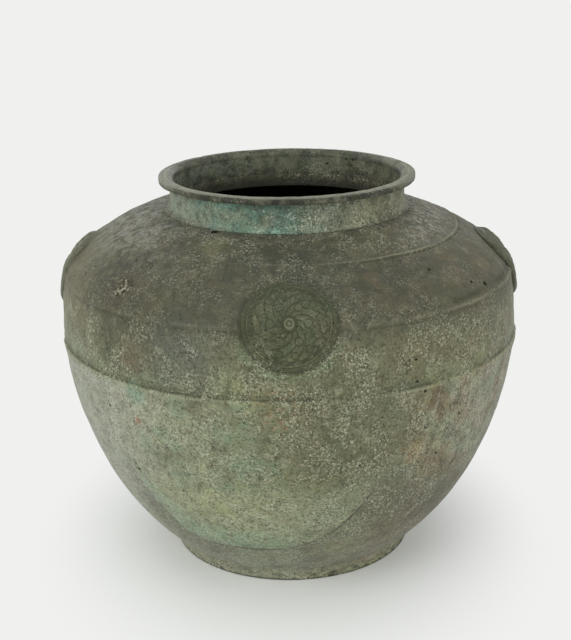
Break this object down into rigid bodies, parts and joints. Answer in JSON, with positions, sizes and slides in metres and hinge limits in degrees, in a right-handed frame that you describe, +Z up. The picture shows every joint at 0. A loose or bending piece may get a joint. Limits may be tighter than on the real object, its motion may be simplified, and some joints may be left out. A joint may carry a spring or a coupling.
{
  "type": "jar",
  "caption": "Broad-shouldered cast-bronze storage jar with a low neck, flat turned-out lip, raised lines, round shoulder medallions and a low foot ring.",
  "frame": {"origin": "centre of the foot ring's underside, on the jar's upright axis", "axes": "+Z up along the jar's axis, -Y through the front roundel, +X to the right seen from the front"},
  "size_m": [0.3654, 0.3654, 0.3074],
  "materials": {
    "body_bronze": "cast bronze under a grey-olive corrosion crust with pale grains",
    "neck_bronze": "cast bronze under a turquoise and grey-olive corrosion crust",
    "foot_bronze": "cast bronze, corroded and chipped along its lower edge",
    "roundel_bronze": "cast bronze in low relief, worn and corroded",
    "solder": "dull grey tin-lead solder"
  },
  "bodies": {
    "root": {"body": "body_bronze", "neck_and_lip": "neck_bronze", "foot_ring": "foot_bronze", "roundel_front": "roundel_bronze", "solder_bed_front": "solder", "roundel_right": "roundel_bronze", "solder_bed_right": "solder", "roundel_back": "roundel_bronze", "solder_bed_back": "solder", "roundel_left": "roundel_bronze", "solder_bed_left": "solder"}
  },
  "joints": []
}
